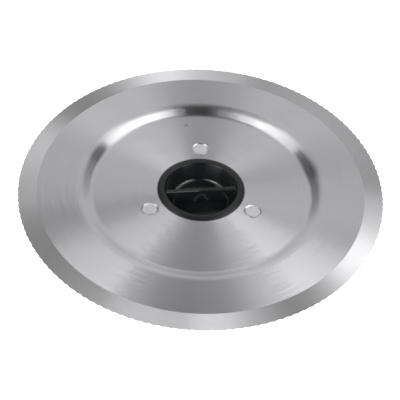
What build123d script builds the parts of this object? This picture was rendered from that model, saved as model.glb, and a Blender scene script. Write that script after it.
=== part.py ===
from build123d import *
from math import acos, ceil, cos, degrees, pi, radians, sin, tan
import os

# Round serrated blade of a kitchen food slicer, in millimetres, with its front face up.
# The Z axis is the spindle axis, and the origin is the centre of the sleeve's rear end.

# Blade disc, stainless sheet that is pressed to a shallow dish and ground at its rim
edge_radius = 85.0
sheet_thickness = 1.2
bevel_width = 9.0
front_grind = 0.15
edge_land = 0.12
edge_tooth_count = 144
edge_tooth_depth = 0.5
recess_depth = 2.7
step_foot_radius = 50.2
step_angle = 28.7
step_foot_round = 4.0
step_crown_round = 8.0

# Hub, one black moulding with a grip cup in front and a spindle sleeve behind
rim_radius = 20.2
rim_proud = 0.25
rim_inner_round = 0.8
rim_bevel_width = 0.7
rim_bevel_drop = 0.3
cup_mouth_radius = 16.4
cup_floor_radius = 13.6
cup_depth = 8.0
cup_floor_round = 2.0
cup_wall = 2.3
cup_floor_thickness = 1.8
grip_angle = 8.9
grip_top_width = 2.0
grip_root_width = 2.6
grip_below_rim = 0.3
grip_round = 0.5
hub_flange_radius = 33.0
hub_flange_thickness = 2.0
sleeve_length = 8.8
sleeve_radius = 9.0
spindle_radius = 5.0
spindle_lead_in = 0.8
sleeve_rib_count = 6
sleeve_rib_width = 1.6
sleeve_rib_height = 5.0
lug_count = 2
lug_reach = 2.5
lug_thickness = 2.5
lug_width = 9.0
lug_angle = 30.0

# Drive gear, one moulding behind the hub flange
gear_module = 1.5
gear_pressure_angle = 20.0
gear_helix_angle = 8.0
gear_root_modules = 1.25
gear_face_width = 10.5
gear_least_rim_thickness = 3.5
gear_web_thickness = 2.5
gear_collar_wall = 2.5
gear_collar_height = 3.0
gear_rib_count = 12
gear_rib_width = 1.8
gear_rib_height = 5.0
gear_boss_radius = 5.0
gear_boss_height = 1.0

# Rivets that hold the disc, the hub flange and the gear web together
rivet_count = 3
rivet_edge_distance = 5.7
rivet_start_angle = 93.0
rivet_shank_radius = 2.0
rivet_head_radius = 3.4
rivet_head_thickness = 0.6
rivet_head_bevel = 0.4
rivet_head_bevel_drop = 0.25
rivet_mouth_width = 0.5
rivet_mouth_depth = 0.12
rivet_tail_radius = 3.4
rivet_tail_height = 1.2
rivet_tail_bevel = 0.6

# Clearances, and the overlap of features that are moulded as one
rim_clearance = 0.1
rivet_clearance = 0.1
gear_bore_clearance = 0.2
gear_disc_clearance = 0.3
gear_flange_clearance = 2.0
root_overlap = 0.5

# Heights that follow from the stack on the spindle axis
cup_floor_z = sleeve_length + cup_floor_thickness
rim_z = cup_floor_z + cup_depth
recess_z = rim_z - rim_proud
disc_seat_z = recess_z - sheet_thickness
web_front_z = disc_seat_z - hub_flange_thickness
web_rear_z = web_front_z - gear_web_thickness
boss_rear_z = web_rear_z - gear_boss_height
rivet_seat_z = recess_z - rivet_head_thickness
gear_front_z = disc_seat_z - gear_disc_clearance
gear_rear_z = gear_front_z - gear_face_width
cutter_height = 2 * (recess_z + recess_depth)

# Gear size that follows from its module and the hub flange that it clears
gear_rim_inner_radius = hub_flange_radius + gear_flange_clearance
least_root_radius = gear_rim_inner_radius + gear_least_rim_thickness
gear_tooth_count = ceil(2 * (least_root_radius / gear_module + gear_root_modules))
gear_pitch_radius = gear_module * gear_tooth_count / 2
gear_tip_radius = gear_pitch_radius + gear_module
gear_root_radius = gear_pitch_radius - gear_root_modules * gear_module
cup_outer_radius = cup_mouth_radius + cup_wall
gear_bore_radius = cup_outer_radius + gear_bore_clearance
gear_collar_radius = gear_bore_radius + gear_collar_wall
rivet_circle_radius = hub_flange_radius - rivet_edge_distance


def polar(radius, angle):
    """Point in the XY plane, with its angle in radians."""
    return (radius * cos(angle), radius * sin(angle))


def corner(face, x, y):
    """The vertex of a flat section that lies at a point."""
    return face.vertices().sort_by_distance((x, y, 0))[0]


def turned(section):
    """A body of revolution from a section with its radius along X and height along Y."""
    return revolve(Plane.XZ * section, Axis.Z)


def rivet_places(height):
    """The rivet axes, at one height."""
    return Pos(0, 0, height) * PolarLocations(rivet_circle_radius, rivet_count, rivet_start_angle)


def rivet_holes():
    """Pins that open the rivet holes through everything they pass."""
    pin = Cylinder(rivet_shank_radius + rivet_clearance, cutter_height)
    return [place * pin for place in rivet_places(recess_z)]


def rivet_seats():
    """The round seats that let the rivet heads into the sheet, with a sloped mouth."""
    seat_radius = rivet_head_radius + rivet_clearance
    section = Polyline(
        (0, rivet_seat_z),
        (seat_radius, rivet_seat_z),
        (seat_radius, recess_z - rivet_mouth_depth),
        (seat_radius + rivet_mouth_width, recess_z),
        (seat_radius + rivet_mouth_width, recess_z + root_overlap),
        (0, recess_z + root_overlap),
        close=True,
    )
    return [place * turned(make_face(section)) for place in rivet_places(0)]


def pressed_face(height, foot_round, crown_round):
    """One face of the sheet, from the centre over the step to the start of the bevel."""
    rise = (step_foot_round + step_crown_round) * (1 - cos(radians(step_angle)))
    slope_length = (recess_depth - rise) / sin(radians(step_angle))
    hole_radius = rim_radius + rim_clearance
    floor = Line((hole_radius, height), (step_foot_radius, height))
    foot = JernArc(floor @ 1, floor % 1, foot_round, step_angle)
    slope = Line(foot @ 1, foot @ 1 + foot % 1 * slope_length)
    crown = JernArc(slope @ 1, slope % 1, crown_round, -step_angle)
    flange = Line(crown @ 1, (edge_radius - bevel_width, height + recess_depth))
    return [floor, foot, slope, crown, flange]


def disc_section():
    """Half section of the pressed and ground sheet, with the same thickness over its step."""
    front = pressed_face(recess_z, step_foot_round, step_crown_round)
    rear = pressed_face(disc_seat_z, step_foot_round + sheet_thickness, step_crown_round - sheet_thickness)
    edge_top = (edge_radius, recess_z + recess_depth - front_grind)
    edge_bottom = (edge_radius, edge_top[1] - edge_land)
    rim = Polyline(front[-1] @ 1, edge_top, edge_bottom, rear[-1] @ 1)
    bore = Line(front[0] @ 0, rear[0] @ 0)
    return make_face(front + rim.edges() + rear + [bore])


def serrated_outline():
    """Plan of the cutting edge: round gullets that meet in points."""
    half_pitch = pi / edge_tooth_count
    gullets = []
    for tooth in range(edge_tooth_count):
        middle = 2 * half_pitch * tooth
        start = polar(edge_radius, middle - half_pitch)
        floor = polar(edge_radius - edge_tooth_depth, middle)
        end = polar(edge_radius, middle + half_pitch)
        gullets.append(ThreePointArc(start, floor, end))
    return make_face(gullets)


def blade_disc():
    """The steel disc, with its serrated edge, centre hole and rivet holes."""
    disc = turned(disc_section()) - rivet_holes() - rivet_seats()
    return disc & extrude(serrated_outline(), cutter_height)


def hub_section():
    """Half section of the hub, through cup, rim, flange and sleeve."""
    cup_foot_radius = cup_floor_radius + cup_wall
    outline = Polyline(
        (0, cup_floor_z),
        (cup_floor_radius, cup_floor_z),
        (cup_mouth_radius, rim_z),
        (rim_radius - rim_bevel_width, rim_z),
        (rim_radius, rim_z - rim_bevel_drop),
        (rim_radius, disc_seat_z),
        (hub_flange_radius, disc_seat_z),
        (hub_flange_radius, web_front_z),
        (cup_outer_radius, web_front_z),
        (cup_foot_radius, sleeve_length),
        (sleeve_radius, sleeve_length),
        (sleeve_radius, 0),
        (spindle_radius + spindle_lead_in, 0),
        (spindle_radius, spindle_lead_in),
        (spindle_radius, sleeve_length),
        (0, sleeve_length),
        close=True,
    )
    face = make_face(outline)
    face = fillet(corner(face, cup_floor_radius, cup_floor_z), cup_floor_round)
    return fillet(corner(face, cup_mouth_radius, rim_z), rim_inner_round)


def grip_bar():
    """The upright bar across the cup, a little narrower at its top."""
    top_z = rim_z - grip_below_rim
    root_z = cup_floor_z - root_overlap
    section = make_face(
        Polyline(
            (-grip_root_width / 2, root_z),
            (grip_root_width / 2, root_z),
            (grip_top_width / 2, top_z),
            (-grip_top_width / 2, top_z),
            close=True,
        )
    )
    section = fillet(section.vertices().group_by(Axis.Y)[-1], grip_round)
    bar = extrude(Plane.YZ * section, cup_mouth_radius, both=True)
    inside = turned(
        make_face(
            Polyline(
                (0, root_z),
                (cup_floor_radius + root_overlap, root_z),
                (cup_mouth_radius + root_overlap, rim_z),
                (0, rim_z),
                close=True,
            )
        )
    )
    return Rot(0, 0, grip_angle) * (bar & inside)


def sleeve_rib():
    """Gusset from the sleeve to the underside of the cup."""
    cup_foot_radius = cup_floor_radius + cup_wall
    top_z = sleeve_length + root_overlap
    side = make_face(
        Polyline(
            (sleeve_radius - root_overlap, top_z),
            (cup_foot_radius, top_z),
            (cup_foot_radius, sleeve_length),
            (sleeve_radius, sleeve_length - sleeve_rib_height),
            (sleeve_radius - root_overlap, sleeve_length - sleeve_rib_height),
            close=True,
        )
    )
    return extrude(Plane.XZ * side, sleeve_rib_width / 2, both=True)


def sleeve_lug():
    """Lug of the turning lock, at the sleeve's rear end."""
    outer = Cylinder(sleeve_radius + lug_reach, lug_thickness, align=(Align.CENTER, Align.CENTER, Align.MIN))
    inner = Cylinder(sleeve_radius - root_overlap, lug_thickness, align=(Align.CENTER, Align.CENTER, Align.MIN))
    bar = Box(
        sleeve_radius + lug_reach,
        lug_width,
        lug_thickness,
        align=(Align.MIN, Align.CENTER, Align.MIN),
    )
    return bar & outer - inner


def hub():
    """The hub moulding."""
    body = turned(hub_section()) + grip_bar()
    body += [place * sleeve_rib() for place in PolarLocations(0, sleeve_rib_count)]
    body += [place * sleeve_lug() for place in PolarLocations(0, lug_count, lug_angle)]
    return body - rivet_holes()


def gear_half_tooth(radius):
    """Half the angle that an involute tooth takes up at a radius."""
    pressure = radians(gear_pressure_angle)
    base_radius = gear_pitch_radius * cos(pressure)
    here = acos(base_radius / radius)
    return pi / (2 * gear_tooth_count) + (tan(pressure) - pressure) - (tan(here) - here)


def gear_flank(middle, side):
    """One flank of a tooth, from root to tip."""
    radii = (gear_root_radius, gear_pitch_radius, gear_tip_radius)
    return ThreePointArc(*[polar(r, middle + side * gear_half_tooth(r)) for r in radii])


def gear_outline():
    """Plan of the gear's teeth."""
    edges = []
    pitch = 2 * pi / gear_tooth_count
    for tooth in range(gear_tooth_count):
        rising = gear_flank(tooth * pitch, -1)
        falling = gear_flank(tooth * pitch, 1)
        following = gear_flank((tooth + 1) * pitch, -1)
        edges += [rising, Line(rising @ 1, falling @ 1), falling, Line(falling @ 0, following @ 0)]
    return make_face(edges)


def gear_teeth():
    """The helical tooth ring, solid to the middle."""
    outline = gear_outline()
    twist = degrees(gear_face_width * tan(radians(gear_helix_angle)) / gear_pitch_radius)
    rear = Pos(0, 0, gear_rear_z) * outline
    front = Pos(0, 0, gear_front_z) * Rot(0, 0, twist) * outline
    return loft([rear, front], ruled=True)


def gear_hollow():
    """The room inside the tooth ring, in front of the web and behind it."""
    collar_rear_z = web_rear_z - gear_collar_height
    front = Polyline(
        (0, gear_front_z),
        (gear_rim_inner_radius, gear_front_z),
        (gear_rim_inner_radius, web_front_z),
        (gear_bore_radius, web_front_z),
        (gear_bore_radius, collar_rear_z),
        (gear_collar_radius, collar_rear_z),
        (gear_collar_radius, web_rear_z),
        (gear_rim_inner_radius, web_rear_z),
        (gear_rim_inner_radius, gear_rear_z),
        (0, gear_rear_z),
        close=True,
    )
    return turned(make_face(front))


def gear_rib():
    """Radial rib behind the web, from the collar to the tooth ring."""
    inner = gear_collar_radius - root_overlap
    outer = gear_rim_inner_radius + root_overlap
    rib = Box(
        outer - inner,
        gear_rib_width,
        gear_rib_height + root_overlap,
        align=(Align.MIN, Align.CENTER, Align.MAX),
    )
    return Pos(inner, 0, web_rear_z + root_overlap) * rib


def drive_gear():
    """The gear moulding."""
    boss = Cylinder(
        gear_boss_radius,
        gear_boss_height + root_overlap,
        align=(Align.CENTER, Align.CENTER, Align.MIN),
    )
    half_space = 180 / gear_rib_count
    ribs = PolarLocations(0, gear_rib_count, rivet_start_angle + half_space)
    body = gear_teeth() - gear_hollow()
    body += [place * gear_rib() for place in ribs]
    body += [place * boss for place in rivet_places(boss_rear_z)]
    return body - rivet_holes()


def rivet():
    """One rivet on the Z axis, with its flat head in front and its closed head behind."""
    tail_z = boss_rear_z - rivet_tail_height
    section = Polyline(
        (0, recess_z),
        (rivet_head_radius - rivet_head_bevel, recess_z),
        (rivet_head_radius, recess_z - rivet_head_bevel_drop),
        (rivet_head_radius, rivet_seat_z),
        (rivet_shank_radius, rivet_seat_z),
        (rivet_shank_radius, boss_rear_z),
        (rivet_tail_radius, boss_rear_z),
        (rivet_tail_radius, tail_z + rivet_tail_bevel),
        (rivet_tail_radius - rivet_tail_bevel, tail_z),
        (0, tail_z),
        close=True,
    )
    return turned(make_face(section))


os.makedirs("parts", exist_ok=True)
export_step(blade_disc(), "parts/blade_disc.step")
export_step(hub(), "parts/hub.step")
export_step(drive_gear(), "parts/drive_gear.step")
for number, place in enumerate(rivet_places(0), start=1):
    export_step(place * rivet(), f"parts/rivet_{number}.step")
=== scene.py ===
import math

import bpy
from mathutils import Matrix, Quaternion, Vector


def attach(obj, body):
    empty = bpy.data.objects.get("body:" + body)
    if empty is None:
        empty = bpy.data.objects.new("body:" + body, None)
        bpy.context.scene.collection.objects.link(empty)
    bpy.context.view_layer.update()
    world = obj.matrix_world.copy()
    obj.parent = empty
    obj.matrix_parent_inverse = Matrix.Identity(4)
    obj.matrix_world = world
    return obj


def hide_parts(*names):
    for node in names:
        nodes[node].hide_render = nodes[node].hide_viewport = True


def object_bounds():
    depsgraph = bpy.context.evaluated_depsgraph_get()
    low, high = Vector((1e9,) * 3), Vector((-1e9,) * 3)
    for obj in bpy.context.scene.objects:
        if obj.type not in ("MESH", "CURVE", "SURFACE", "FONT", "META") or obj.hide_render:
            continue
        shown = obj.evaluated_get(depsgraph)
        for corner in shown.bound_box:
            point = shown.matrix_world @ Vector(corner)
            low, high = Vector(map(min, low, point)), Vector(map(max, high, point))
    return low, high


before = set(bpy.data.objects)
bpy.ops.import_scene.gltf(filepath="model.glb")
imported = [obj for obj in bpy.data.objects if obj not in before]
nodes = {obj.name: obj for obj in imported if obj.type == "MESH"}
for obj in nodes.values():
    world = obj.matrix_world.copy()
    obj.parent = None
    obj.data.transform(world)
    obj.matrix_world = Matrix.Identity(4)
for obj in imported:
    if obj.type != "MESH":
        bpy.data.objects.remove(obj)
cad_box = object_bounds()

MM = 0.001
Z_AXIS = (0.0, 0.0, 1.0)
WHITE = (1.0, 1.0, 1.0, 1.0)

# Camera of the photograph: metres, its roll in degrees, lens and sensor in millimetres
CAMERA_PLACE = (0.0, -0.36976, 0.39219)
CAMERA_AIM = (-0.00017, -0.00952, 0.02084)
CAMERA_ROLL = 3.342
CAMERA_LENS = 101.324
CAMERA_SENSOR = 36.0

# Studio lights: name, azimuth, elevation, width and height in degrees from the disc, and radiance
LIGHT_DISTANCE = 1.5
LIGHTS = [
    ("left", 235.7, 18.8, 46.1, 31.6, 4.23),
    ("left_core", 225.1, 27.7, 22.0, 47.7, 5.44),
    ("right", 343.8, 38.8, 58.7, 32.3, 3.37),
    ("right_top", 334.8, 47.3, 30.4, 49.9, 2.23),
    ("right_high", 32.0, 58.8, 55.4, 10.5, 1.12),
    ("far", 86.9, 24.9, 59.1, 48.8, 0.67),
    ("left_high", 156.7, 63.0, 55.0, 13.0, 1.29),
    ("left_top", 213.0, 34.9, 74.2, 45.2, 2.56),
    ("right_low", 313.5, 18.0, 28.9, 35.0, 4.18),
    ("right_far", 73.8, 59.6, 18.8, 12.9, 0.46),
]
DISC_CENTRE = (0.0, 0.0, 0.0208)

# Floor in metres, its look, and the light that the room sends to the object
FLOOR_RADIUS = 8.0
FLOOR_SIDES = 128
FLOOR_CLOUD = 3.0
FLOOR_WHITE = (0.80, 0.84)
FLOOR_DULLNESS = 0.9
FLOOR_GLOW = 0.95
ROOM_LIGHT = 0.03

# Disc in millimetres and degrees, as the CAD has it, but with gullets 0.1 deeper
EDGE_RADIUS = 85.0
EDGE_TEETH = 144
TOOTH_DEPTH = 0.6
TOOTH_STEPS = 6
BEVEL_START = 76.0
SHEET_THICKNESS = 1.2
RECESS_Z = 18.35
RECESS_DEPTH = 2.7
FLANGE_Z = RECESS_Z + RECESS_DEPTH
FRONT_GRIND = 0.15
EDGE_LAND = 0.12
STEP_FOOT = 50.2
STEP_ANGLE = 28.7
FOOT_ROUND = 4.0
CROWN_ROUND = 8.0
ROUND_STEPS = 8
DISC_SHARP = 10.0
BEVEL_INDEX = 1

# Radii in millimetres of the disc's rings of points, the first of which is its bore
RECESS_RINGS = (20.3, 20.5, 35.0, 49.7)
FLANGE_RINGS = (60.0, 75.9, BEVEL_START)
BEVEL_RINGS = (76.1, 80.0, 84.0)

# Rivets in millimetres and degrees: places, the seat in the sheet, the rivet's own half section
RIVET_CIRCLE = 27.3
RIVET_ANGLES = (93.0, 213.0, 333.0)
RIVET_SIDES = 64
RIVET_SHARP = 35.0
SEAT_BORE = [(0, 15), (2.1, 15), (2.1, 17.75), (3.5, 17.75), (3.5, 18.06)]
SEAT_MOUTH = [(4.05, 18.35), (4.25, 18.44), (4.25, 20), (0, 20)]
RIVET_HEAD = [(0, 18.38), (1.4, 18.379), (2.6, 18.377), (3.2, 18.373), (3.36, 18.37)]
RIVET_SHANK = [(3.36, 17.75), (2.0, 17.75), (2.0, 11.65), (3.4, 11.65)]
RIVET_TAIL = [(3.4, 11.15), (3.3, 10.9), (3.1, 10.65), (2.75, 10.48), (2.4, 10.45), (0, 10.45)]

# Grip bar in millimetres and degrees, with its half thickness at the top and at the root
GRIP_ANGLE = 8.9
GRIP_TOP_Z = 18.3
GRIP_ROOT_Z = 10.1
GRIP_TOP_HALF = 1.0
GRIP_ROOT_HALF = 1.3

# Chevron in millimetres: its line on the bar, its section as shares of the half width and reliefs
CHEVRON_LINE = [
    (-3.0, 12.2),
    (-1.9, 14.0),
    (-0.7, 15.3),
    (0.3, 15.6),
    (1.1, 15.2),
    (2.0, 13.8),
    (2.7, 12.2),
]
CHEVRON_HALF_WIDTH = 1.2
CHEVRON_SECTION = [(1.0, -0.05), (0.35, 0.3), (-0.35, 0.3), (-1.0, -0.05)]
CHEVRON_LEVELS = 2
CHEVRON_SHARP = 60.0

# Spans of a noise's factor that are spread over a look
NOISE_NARROW = (0.3, 0.7)
NOISE_MIDDLE = (0.25, 0.75)
NOISE_WIDE = (0.2, 0.8)

# Smallest radius that a material reckons with, and how high its bumps stand, in metres
LEAST_RADIUS = 0.0001
BUMP_HEIGHT = 0.0001

# Sheet: streaks per metre and round the circle, grey, green and blue against red, dullness, ripple
FINE_STREAKS = (7000.0, 3.0)
BROAD_STREAKS = (1900.0, 4.5)
SHEET_GREY = (0.59, 0.65)
SHEET_TINT = (0.993, 1.03)
SHEET_DULLNESS = (0.24, 0.265)
SHEET_RIPPLE = (-0.021, 0.021)

# Painted shadow on the sheet in the gap along the rim of the hub: its radii in metres, and its shade
PAINTED_RIM_SHADOW = (0.0203, 0.0208)
PAINTED_RIM_SHADOW_LEVELS = (0.35, 1.0)

# Fleck on the recess floor: its centre and half sizes in metres, how its edge fades, and its shade
FLECK_PLACE = (-0.0093, 0.0438)
FLECK_HALF = (0.0011, 0.00055)
FLECK_EDGE = (0.7, 1.1)
FLECK_SHADE = (0.65, 1.0)

# Bevel: its scratches' angle from the edge and their scale, its look, and its lean outward
SCRATCH_ANGLE = 37.0
SCRATCH_TURNS = 260.0
SCRATCH_RINGS = 250.0
BEVEL_GREY = (0.56, 0.68)
BEVEL_TINT = (0.993, 1.016)
BEVEL_DULLNESS = (0.33, 0.35)
BEVEL_RIPPLE = (-0.01, 0.01)
BEVEL_LEAN = 0.03

# Hub plastic: streaks and grain, shares of its base grey and dullness, ripple, and the two looks
MOULD_STREAKS = (5000.0, 2.0)
MOULD_BANDS = (900.0, 3.0)
HUB_GRAIN = 3500.0
HUB_GREY = (0.7, 1.3)
HUB_TINT = (1.15, 1.22)
HUB_DULLNESS = (0.9, 1.1)
HUB_RIPPLE = (-0.03, 0.03)
HUB_BUMP = 0.15
HUB_LOOK = (0.005, 0.22)
CHEVRON_LOOK = (0.006, 0.85)

# Hub in metres: the cup's mouth and gloss, and the height above which the rim is shaded
CUP_MOUTH = (0.0158, 0.0166)
CUP_GLOSS = (0.55, 1.0)
RIM_SHADE_Z = 0.0175

# Rim's lean between two radii in metres: its crown, its outer edge and the round at its mouth
RIM_CROWN = (0.0170, 0.0194)
CROWN_LEAN = (-0.15, 0.15)
RIM_ROLL = (0.0195, 0.0201)
ROLL_LEAN = (0.0, -0.6)
MOUTH_ROUND = (0.0171, 0.0172)
MOUTH_LEAN = (-3.0, 0.0)

# Radii in metres between which the grip bar ends and the round at the mouth may start
BAR_END = (0.0162, 0.0164)

# Gear plastic
GEAR_GRAIN = 2500.0
GEAR_CLOUD = 120.0
GEAR_GREY = (0.012, 0.019)
GEAR_DULLNESS = (0.42, 0.52)
GEAR_BUMP = 0.2

# Rivet steel
RIVET_CLOUD = 1100.0
RIVET_GREY = (0.72, 0.79)
RIVET_TINT = (0.997, 1.02)
RIVET_DULLNESS = (0.34, 0.44)


class Graph:
    """Short calls that add nodes to one material."""

    def __init__(self, name):
        self.material = bpy.data.materials.new(name)
        self.material.use_nodes = True
        self.tree = self.material.node_tree
        self.shader = self.tree.nodes["Principled BSDF"]

    def add(self, kind, inputs=None, **settings):
        node = self.tree.nodes.new(kind)
        for name, value in settings.items():
            setattr(node, name, value)
        for socket, value in (inputs or {}).items():
            self.feed(node, socket, value)
        return node

    def feed(self, node, socket, value):
        if isinstance(value, bpy.types.NodeSocket):
            self.tree.links.new(value, node.inputs[socket])
        else:
            node.inputs[socket].default_value = value

    def maths(self, operation, *values):
        return self.add("ShaderNodeMath", dict(enumerate(values)), operation=operation).outputs[0]

    def vector(self, operation, *values):
        inputs = dict(enumerate(values))
        return self.add("ShaderNodeVectorMath", inputs, operation=operation).outputs[0]

    def scaled(self, vector, amount):
        inputs = {"Vector": vector, "Scale": amount}
        return self.add("ShaderNodeVectorMath", inputs, operation="SCALE").outputs[0]

    def join(self, x, y, z):
        return self.add("ShaderNodeCombineXYZ", {0: x, 1: y, 2: z}).outputs[0]

    def remap(self, value, low, high, new_low, new_high):
        inputs = {"Value": value, "From Min": low, "From Max": high}
        inputs.update({"To Min": new_low, "To Max": new_high})
        return self.add("ShaderNodeMapRange", inputs).outputs["Result"]

    def noise(self, vector, scale=1.0, detail=4.0, roughness=0.55):
        inputs = {"Vector": vector, "Scale": scale, "Detail": detail, "Roughness": roughness}
        return self.add("ShaderNodeTexNoise", inputs).outputs["Fac"]

    def bump(self, height, strength):
        """A normal with low bumps."""
        inputs = {"Height": height, "Strength": strength, "Distance": BUMP_HEIGHT}
        return self.add("ShaderNodeBump", inputs).outputs[0]

    def place(self):
        """Object coordinates."""
        return self.add("ShaderNodeTexCoord").outputs["Object"]

    def axes(self):
        """X, Y and Z of the object coordinates."""
        return self.add("ShaderNodeSeparateXYZ", {"Vector": self.place()}).outputs

    def grey(self, value, green=1.0, blue=1.0):
        """Sets a grey whose green and blue are shares of its red."""
        inputs = {0: value}
        inputs[1] = self.maths("MULTIPLY", value, green)
        inputs[2] = self.maths("MULTIPLY", value, blue)
        colour = self.add("ShaderNodeCombineColor", inputs).outputs[0]
        self.feed(self.shader, "Base Color", colour)

    def dull(self, value):
        """Sets how dull the surface is."""
        self.feed(self.shader, "Roughness", value)

    def lean(self, surface, amount):
        """Leans the shading normal by a vector."""
        leaning = self.vector("ADD", surface, amount)
        self.feed(self.shader, "Normal", self.vector("NORMALIZE", leaning))

    def brush(self, run):
        """Sets the direction of brushing. The shader wants the way across it along the surface."""
        surface = self.add("ShaderNodeNewGeometry").outputs["Normal"]
        self.feed(self.shader, "Tangent", self.vector("CROSS_PRODUCT", run, surface))
        return surface

    def set(self, **constants):
        for name, value in constants.items():
            self.shader.inputs[name.replace("_", " ")].default_value = value


class TurnedGraph(Graph):
    """A graph that knows the radius, the angle and the ways outward and around the spindle."""

    def __init__(self, name):
        super().__init__(name)
        x, y = self.axes()[:2]
        squares = self.maths("ADD", self.maths("MULTIPLY", x, x), self.maths("MULTIPLY", y, y))
        self.radius = self.maths("MAXIMUM", self.maths("SQRT", squares), LEAST_RADIUS)
        self.cosine = self.maths("DIVIDE", x, self.radius)
        self.sine = self.maths("DIVIDE", y, self.radius)
        self.outward = self.join(self.cosine, self.sine, 0.0)
        self.around = self.vector("CROSS_PRODUCT", Z_AXIS, self.outward)

    def ring_streaks(self, per_metre, turns):
        """A vector for noise that is drawn out along circles round the spindle."""
        x = self.maths("MULTIPLY", self.cosine, turns)
        y = self.maths("MULTIPLY", self.sine, turns)
        return self.join(x, y, self.maths("MULTIPLY", self.radius, per_metre))

    def slanted_lines(self, slant):
        """A vector for noise that is drawn out along spirals, which cross the circles at an angle."""
        angle = self.maths("ARCTAN2", self.sine, self.cosine)
        spiral = self.maths("DIVIDE", self.maths("LOGARITHM", self.radius, math.e), math.tan(slant))
        turn = self.maths("SUBTRACT", spiral, angle)
        x = self.maths("MULTIPLY", self.maths("COSINE", turn), SCRATCH_TURNS)
        y = self.maths("MULTIPLY", self.maths("SINE", turn), SCRATCH_TURNS)
        return self.join(x, y, self.maths("MULTIPLY", self.radius, SCRATCH_RINGS))


def fleck(graph):
    """A factor that darkens one small fleck."""
    squares = []
    for axis, middle, half in zip(graph.axes(), FLECK_PLACE, FLECK_HALF):
        share = graph.maths("DIVIDE", graph.maths("SUBTRACT", axis, middle), half)
        squares.append(graph.maths("MULTIPLY", share, share))
    return graph.remap(graph.maths("ADD", *squares), *FLECK_EDGE, *FLECK_SHADE)


def sheet_steel():
    """Stainless sheet with fine concentric brushing, and a painted shadow along the rim of the hub.
    """
    graph = TurnedGraph("sheet_steel")
    fine = graph.noise(graph.ring_streaks(*FINE_STREAKS), detail=3.0)
    broad = graph.noise(graph.ring_streaks(*BROAD_STREAKS), detail=4.0, roughness=0.6)
    steel = graph.remap(fine, *NOISE_MIDDLE, *SHEET_GREY)
    # Painted shadow: the sheet's colour is darkened in a narrow ring next to the hub's rim, where the
    # gap lies in shade
    steel = graph.maths("MULTIPLY", steel, graph.remap(graph.radius, *PAINTED_RIM_SHADOW, *PAINTED_RIM_SHADOW_LEVELS))
    graph.grey(graph.maths("MULTIPLY", steel, fleck(graph)), *SHEET_TINT)
    graph.dull(graph.remap(fine, *NOISE_MIDDLE, *SHEET_DULLNESS))
    surface = graph.brush(graph.around)
    graph.lean(surface, graph.scaled(graph.around, graph.remap(broad, *NOISE_WIDE, *SHEET_RIPPLE)))
    graph.set(Metallic=1.0, Anisotropic=1.0)
    return graph.material


def bevel_steel():
    """Ground steel of the cutting bevel, with fine scratches that slant across it."""
    graph = TurnedGraph("bevel_steel")
    slant = math.radians(SCRATCH_ANGLE)
    scratches = graph.noise(graph.slanted_lines(slant), detail=5.0, roughness=0.7)
    graph.grey(graph.remap(scratches, *NOISE_MIDDLE, *BEVEL_GREY), *BEVEL_TINT)
    graph.dull(graph.remap(scratches, *NOISE_MIDDLE, *BEVEL_DULLNESS))
    around = graph.scaled(graph.around, math.cos(slant))
    along = graph.vector("ADD", around, graph.scaled(graph.outward, math.sin(slant)))
    ripple = graph.scaled(along, graph.remap(scratches, *NOISE_WIDE, *BEVEL_RIPPLE))
    surface = graph.brush(along)
    graph.lean(surface, graph.vector("ADD", ripple, graph.scaled(graph.outward, BEVEL_LEAN)))
    graph.set(Metallic=1.0, Anisotropic=1.0)
    return graph.material


def rim_lean(graph):
    """How far the face of the hub's rim leans outward, for its crown and its two rounded edges."""
    height = graph.axes()[2]
    on_rim = graph.maths("GREATER_THAN", height, RIM_SHADE_Z)
    crown = graph.remap(graph.radius, *RIM_CROWN, *CROWN_LEAN)
    roll = graph.remap(graph.radius, *RIM_ROLL, *ROLL_LEAN)
    past_bar = graph.remap(graph.radius, *BAR_END, 0.0, 1.0)
    mouth = graph.maths("MULTIPLY", past_bar, graph.remap(graph.radius, *MOUTH_ROUND, *MOUTH_LEAN))
    edges = graph.maths("ADD", mouth, roll)
    return graph.maths("MULTIPLY", on_rim, graph.maths("ADD", crown, edges))


def hub_plastic(name, base, dullness):
    """Black moulded plastic with the turned finish of its mould, glossier within the cup."""
    graph = TurnedGraph(name)
    rings = graph.noise(graph.ring_streaks(*MOULD_STREAKS), detail=3.0)
    broad = graph.noise(graph.ring_streaks(*MOULD_BANDS), detail=3.0)
    grain = graph.noise(graph.place(), HUB_GRAIN)
    greys = [share * base for share in HUB_GREY]
    graph.grey(graph.remap(grain, *NOISE_NARROW, *greys), *HUB_TINT)
    in_cup = graph.remap(graph.radius, *CUP_MOUTH, *CUP_GLOSS)
    dulls = [share * dullness for share in HUB_DULLNESS]
    graph.dull(graph.maths("MULTIPLY", in_cup, graph.remap(rings, *NOISE_NARROW, *dulls)))
    graph.brush(graph.around)
    ripple = graph.scaled(graph.around, graph.remap(broad, *NOISE_WIDE, *HUB_RIPPLE))
    rounded = graph.scaled(graph.outward, rim_lean(graph))
    graph.lean(graph.bump(grain, HUB_BUMP), graph.vector("ADD", ripple, rounded))
    graph.set(Anisotropic=1.0, IOR=1.5, Specular_IOR_Level=0.38)
    return graph.material


def gear_plastic():
    """Black moulded plastic with a dull even grain."""
    graph = Graph("gear_plastic")
    place = graph.place()
    grain = graph.noise(place, GEAR_GRAIN)
    cloud = graph.noise(place, GEAR_CLOUD)
    graph.grey(graph.remap(grain, *NOISE_NARROW, *GEAR_GREY))
    graph.dull(graph.remap(cloud, *NOISE_NARROW, *GEAR_DULLNESS))
    graph.feed(graph.shader, "Normal", graph.bump(grain, GEAR_BUMP))
    return graph.material


def rivet_steel():
    """Satin steel of the rivets."""
    graph = Graph("rivet_steel")
    cloud = graph.noise(graph.place(), RIVET_CLOUD)
    graph.grey(graph.remap(cloud, *NOISE_NARROW, *RIVET_GREY), *RIVET_TINT)
    graph.dull(graph.remap(cloud, *NOISE_NARROW, *RIVET_DULLNESS))
    graph.set(Metallic=1.0)
    return graph.material


def on_circle(radius, angle):
    """X and Y of a point at a radius and an angle."""
    return radius * math.cos(angle), radius * math.sin(angle)


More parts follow.
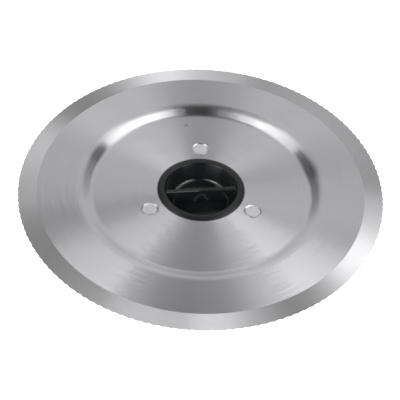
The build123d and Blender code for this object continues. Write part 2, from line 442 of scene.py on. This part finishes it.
def add_mesh(name, points, faces):
    """Adds an object whose points are given in millimetres."""
    mesh = bpy.data.meshes.new(name)
    mesh.from_pydata([[MM * value for value in point] for point in points], [], faces)
    thing = bpy.data.objects.new(name, mesh)
    bpy.context.scene.collection.objects.link(thing)
    return thing


def add_piece(name, points, faces, materials):
    """Adds a piece that rides on the blade, from points in millimetres."""
    piece = add_mesh(name, points, faces)
    for material in materials:
        piece.data.materials.append(material)
    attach(piece, "root")
    return piece


def smooth(mesh, sharp_angle):
    """Shades a mesh smooth, except at edges that turn by more than an angle."""
    mesh.shade_smooth()
    mesh.set_sharp_from_angle(angle=math.radians(sharp_angle))


def edge_radius_at(angle):
    """Radius of the serrated edge, whose gullets are round arcs that meet in points."""
    half_pitch = math.pi / EDGE_TEETH
    from_middle = (angle + half_pitch) % (2 * half_pitch) - half_pitch
    half_chord = EDGE_RADIUS * math.sin(half_pitch)
    height = EDGE_RADIUS * math.cos(half_pitch) - EDGE_RADIUS + TOOTH_DEPTH
    arc = (half_chord**2 + height**2) / (2 * height)
    centre = EDGE_RADIUS - TOOTH_DEPTH + arc
    return centre * math.cos(from_middle) - math.sqrt(arc**2 - (centre * math.sin(from_middle)) ** 2)


def pressed_face(height, foot_round, crown_round):
    """Radius and height of the sheet's rings on one face, from the bore to the start of the bevel."""
    angle = math.radians(STEP_ANGLE)
    rise = (FOOT_ROUND + CROWN_ROUND) * (1 - math.cos(angle))
    slope = (RECESS_DEPTH - rise) / math.sin(angle)
    rings = [(radius, height) for radius in RECESS_RINGS]
    for step in range(ROUND_STEPS + 1):
        turn = angle * step / ROUND_STEPS
        radius = STEP_FOOT + foot_round * math.sin(turn)
        rings.append((radius, height + foot_round * (1 - math.cos(turn))))
    ramp_radius = rings[-1][0] + slope * math.cos(angle)
    ramp_z = rings[-1][1] + slope * math.sin(angle)
    for step in range(ROUND_STEPS + 1):
        turn = angle * (1 - step / ROUND_STEPS)
        radius = ramp_radius + crown_round * (math.sin(angle) - math.sin(turn))
        rings.append((radius, ramp_z + crown_round * (math.cos(turn) - math.cos(angle))))
    return rings + [(radius, height + RECESS_DEPTH) for radius in FLANGE_RINGS]


def bevel_height(radius, start, end):
    """Height of a bevel face at a radius, between its start and its end at the edge."""
    share = (radius - BEVEL_START) / (EDGE_RADIUS - BEVEL_START)
    return start + share * (end - start)


def front_bevel(radius):
    """Height of the front bevel at a radius."""
    return bevel_height(radius, FLANGE_Z, FLANGE_Z - FRONT_GRIND)


def rear_bevel(radius):
    """Height of the rear bevel at a radius."""
    return bevel_height(radius, FLANGE_Z - SHEET_THICKNESS, FLANGE_Z - FRONT_GRIND - EDGE_LAND)


def disc_faces():
    """Rings of the front face and of the rear face, from the bore to just within the edge."""
    front = pressed_face(RECESS_Z, FOOT_ROUND, CROWN_ROUND)
    rear_rounds = (FOOT_ROUND + SHEET_THICKNESS, CROWN_ROUND - SHEET_THICKNESS)
    rear = pressed_face(RECESS_Z - SHEET_THICKNESS, *rear_rounds)
    front += [(radius, front_bevel(radius)) for radius in BEVEL_RINGS]
    rear += [(radius, rear_bevel(radius)) for radius in BEVEL_RINGS]
    return front, rear


def disc_mesh():
    """Points and faces of the disc, turned round the spindle with its serrated edge."""
    front, rear = disc_faces()
    sides = EDGE_TEETH * TOOTH_STEPS
    points = []
    for side in range(sides):
        angle = 2 * math.pi * side / sides
        reach = edge_radius_at(angle)
        edge = [(reach, front_bevel(reach)), (reach, rear_bevel(reach))]
        column = front + edge + rear[::-1]
        points += [(*on_circle(radius, angle), height) for radius, height in column]
    count = len(points) // sides
    faces = []
    for side in range(sides):
        here = side * count
        after = (side + 1) % sides * count
        for ring in range(count):
            following = (ring + 1) % count
            faces.append((here + ring, after + ring, after + following, here + following))
    return points, faces


def blade_disc(sheet, bevel):
    """The disc as one fine mesh, with its pressed step, ground bevel and serrated edge."""
    points, faces = disc_mesh()
    disc = add_piece("disc", points, faces, [sheet, bevel])
    for face in disc.data.polygons:
        middle = face.center
        if math.hypot(middle[0], middle[1]) > BEVEL_START * MM:
            face.material_index = BEVEL_INDEX
    cut_seats(disc)
    smooth(disc.data, DISC_SHARP)
    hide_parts("blade_disc")


def turned_mesh(section, x, y):
    """Points and faces of a body from its half section, which starts and ends on an upright axis."""
    inner = section[1:-1]
    points = [(x, y, section[0][1]), (x, y, section[-1][1])]
    start = len(points)
    for side in range(RIVET_SIDES):
        angle = 2 * math.pi * side / RIVET_SIDES
        for radius, height in inner:
            across, along = on_circle(radius, angle)
            points.append((x + across, y + along, height))
    count = len(inner)
    faces = []
    for side in range(RIVET_SIDES):
        here = start + side * count
        after = start + (side + 1) % RIVET_SIDES * count
        faces.append((0, after, here))
        faces.append((1, here + count - 1, after + count - 1))
        for ring in range(count - 1):
            faces.append((here + ring, after + ring, after + ring + 1, here + ring + 1))
    return points, faces


def rivet_places():
    """X and Y of the rivets' axes."""
    return [on_circle(RIVET_CIRCLE, math.radians(angle)) for angle in RIVET_ANGLES]


def cut_seats(disc):
    """Cuts the rivet seats into the disc."""
    points, faces = [], []
    for x, y in rivet_places():
        more_points, more_faces = turned_mesh(SEAT_BORE + SEAT_MOUTH, x, y)
        faces += [[index + len(points) for index in face] for face in more_faces]
        points += more_points
    cutter = add_mesh("seats", points, faces)
    cut = disc.modifiers.new("seats", "BOOLEAN")
    cut.object = cutter
    cut.operation = "DIFFERENCE"
    cut.solver = "EXACT"
    depsgraph = bpy.context.evaluated_depsgraph_get()
    disc.data = bpy.data.meshes.new_from_object(disc.evaluated_get(depsgraph))
    disc.modifiers.clear()
    bpy.data.objects.remove(cutter)


def rivets(steel):
    """The three rivets, with flat heads that sit level with the sheet and rounded tails."""
    section = RIVET_HEAD + RIVET_SHANK + RIVET_TAIL
    for number, (x, y) in enumerate(rivet_places(), start=1):
        points, faces = turned_mesh(section, x, y)
        piece = add_piece(f"rivet_body_{number}", points, faces, [steel])
        smooth(piece.data, RIVET_SHARP)
        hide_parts(f"rivet_{number}")


def chevron_points():
    """Points of the chevron's ridge, one section after another along its line."""
    turn = math.radians(GRIP_ANGLE)
    points = []
    for index, (along, height) in enumerate(CHEVRON_LINE):
        before = CHEVRON_LINE[max(index - 1, 0)]
        after = CHEVRON_LINE[min(index + 1, len(CHEVRON_LINE) - 1)]
        run = Vector((after[0] - before[0], after[1] - before[1])).normalized()
        for side, relief in CHEVRON_SECTION:
            u = along - run[1] * side * CHEVRON_HALF_WIDTH
            z = height + run[0] * side * CHEVRON_HALF_WIDTH
            share = (z - GRIP_ROOT_Z) / (GRIP_TOP_Z - GRIP_ROOT_Z)
            v = -(GRIP_ROOT_HALF + share * (GRIP_TOP_HALF - GRIP_ROOT_HALF)) - relief
            x = u * math.cos(turn) - v * math.sin(turn)
            y = u * math.sin(turn) + v * math.cos(turn)
            points.append((x, y, z))
    return points


def chevron(plastic):
    """Raised chevron on the near side of the grip bar, with a sloped ridge for a section."""
    count = len(CHEVRON_SECTION)
    last = count * (len(CHEVRON_LINE) - 1)
    faces = []
    for here in range(0, last, count):
        for corner in range(count):
            near, far = here + corner, here + (corner + 1) % count
            faces.append((near, far, far + count, near + count))
    ends = [tuple(range(count)), tuple(range(last + count - 1, last - 1, -1))]
    piece = add_piece("grip_chevron", chevron_points(), faces + ends, [plastic])
    soften = piece.modifiers.new("soften", "SUBSURF")
    soften.levels = CHEVRON_LEVELS
    soften.render_levels = CHEVRON_LEVELS
    smooth(piece.data, CHEVRON_SHARP)


def dress():
    """Gives the CAD nodes that stay their materials, and adds the finer pieces."""
    moulded = {"hub": hub_plastic("hub_plastic", *HUB_LOOK), "drive_gear": gear_plastic()}
    for name, material in moulded.items():
        nodes[name].data.materials.clear()
        nodes[name].data.materials.append(material)
    blade_disc(sheet_steel(), bevel_steel())
    rivets(rivet_steel())
    chevron(hub_plastic("chevron_plastic", *CHEVRON_LOOK))


def make_camera():
    """The camera, turned about its own line of sight by the photograph's small roll."""
    data = bpy.data.cameras.new("camera")
    data.lens = CAMERA_LENS
    data.sensor_width = CAMERA_SENSOR
    camera = bpy.data.objects.new("camera", data)
    bpy.context.scene.collection.objects.link(camera)
    sight = Vector(CAMERA_AIM) - Vector(CAMERA_PLACE)
    roll = Quaternion(Z_AXIS, math.radians(CAMERA_ROLL))
    camera.rotation_mode = "QUATERNION"
    camera.rotation_quaternion = sight.to_track_quat("-Z", "Y") @ roll
    camera.location = CAMERA_PLACE
    bpy.context.scene.camera = camera


def span(angle):
    """The width that fills an angle in degrees at the lights' distance."""
    return 2 * LIGHT_DISTANCE * math.tan(math.radians(angle) / 2)


def softbox(name, azimuth, elevation, width, height, radiance):
    """A flat rectangular light that faces the disc."""
    data = bpy.data.lights.new(name, "AREA")
    data.shape = "RECTANGLE"
    data.size = span(width)
    data.size_y = span(height)
    data.energy = radiance * math.pi * data.size * data.size_y
    lamp = bpy.data.objects.new(name, data)
    bpy.context.scene.collection.objects.link(lamp)
    turn, rise = math.radians(azimuth), math.radians(elevation)
    outward = Vector((*on_circle(math.cos(rise), turn), math.sin(rise)))
    lamp.location = Vector(DISC_CENTRE) + LIGHT_DISTANCE * outward
    lamp.rotation_euler = (-outward).to_track_quat("-Z", "Y").to_euler()
    lamp.visible_camera = False


def floor_white():
    """Plain white of the floor, with a faint cloud."""
    graph = Graph("floor_white")
    cloud = graph.noise(graph.place(), FLOOR_CLOUD)
    graph.grey(graph.remap(cloud, *NOISE_NARROW, *FLOOR_WHITE))
    graph.set(Roughness=FLOOR_DULLNESS, Emission_Color=WHITE, Emission_Strength=FLOOR_GLOW)
    return graph.material


def make_floor():
    """A wide round white floor under the blade."""
    turns = [2 * math.pi * side / FLOOR_SIDES for side in range(FLOOR_SIDES)]
    rim = [(*on_circle(FLOOR_RADIUS, turn), cad_box[0][2]) for turn in turns]
    mesh = bpy.data.meshes.new("floor")
    mesh.from_pydata(rim, [], [list(range(FLOOR_SIDES))])
    floor = bpy.data.objects.new("floor", mesh)
    bpy.context.scene.collection.objects.link(floor)
    mesh.materials.append(floor_white())


def make_world():
    """White surroundings for the camera, and a dim room for the object."""
    world = bpy.data.worlds.new("studio")
    world.use_nodes = True
    bpy.context.scene.world = world
    tree = world.node_tree
    seen = tree.nodes.new("ShaderNodeLightPath")
    level = tree.nodes.new("ShaderNodeMapRange")
    level.inputs["To Min"].default_value = ROOM_LIGHT
    tree.links.new(seen.outputs["Is Camera Ray"], level.inputs["Value"])
    tree.links.new(level.outputs["Result"], tree.nodes["Background"].inputs["Strength"])
    tree.nodes["Background"].inputs["Color"].default_value = WHITE


dress()
make_camera()
for light in LIGHTS:
    softbox(*light)
make_floor()
make_world()
bpy.context.scene.view_settings.view_transform = "Standard"
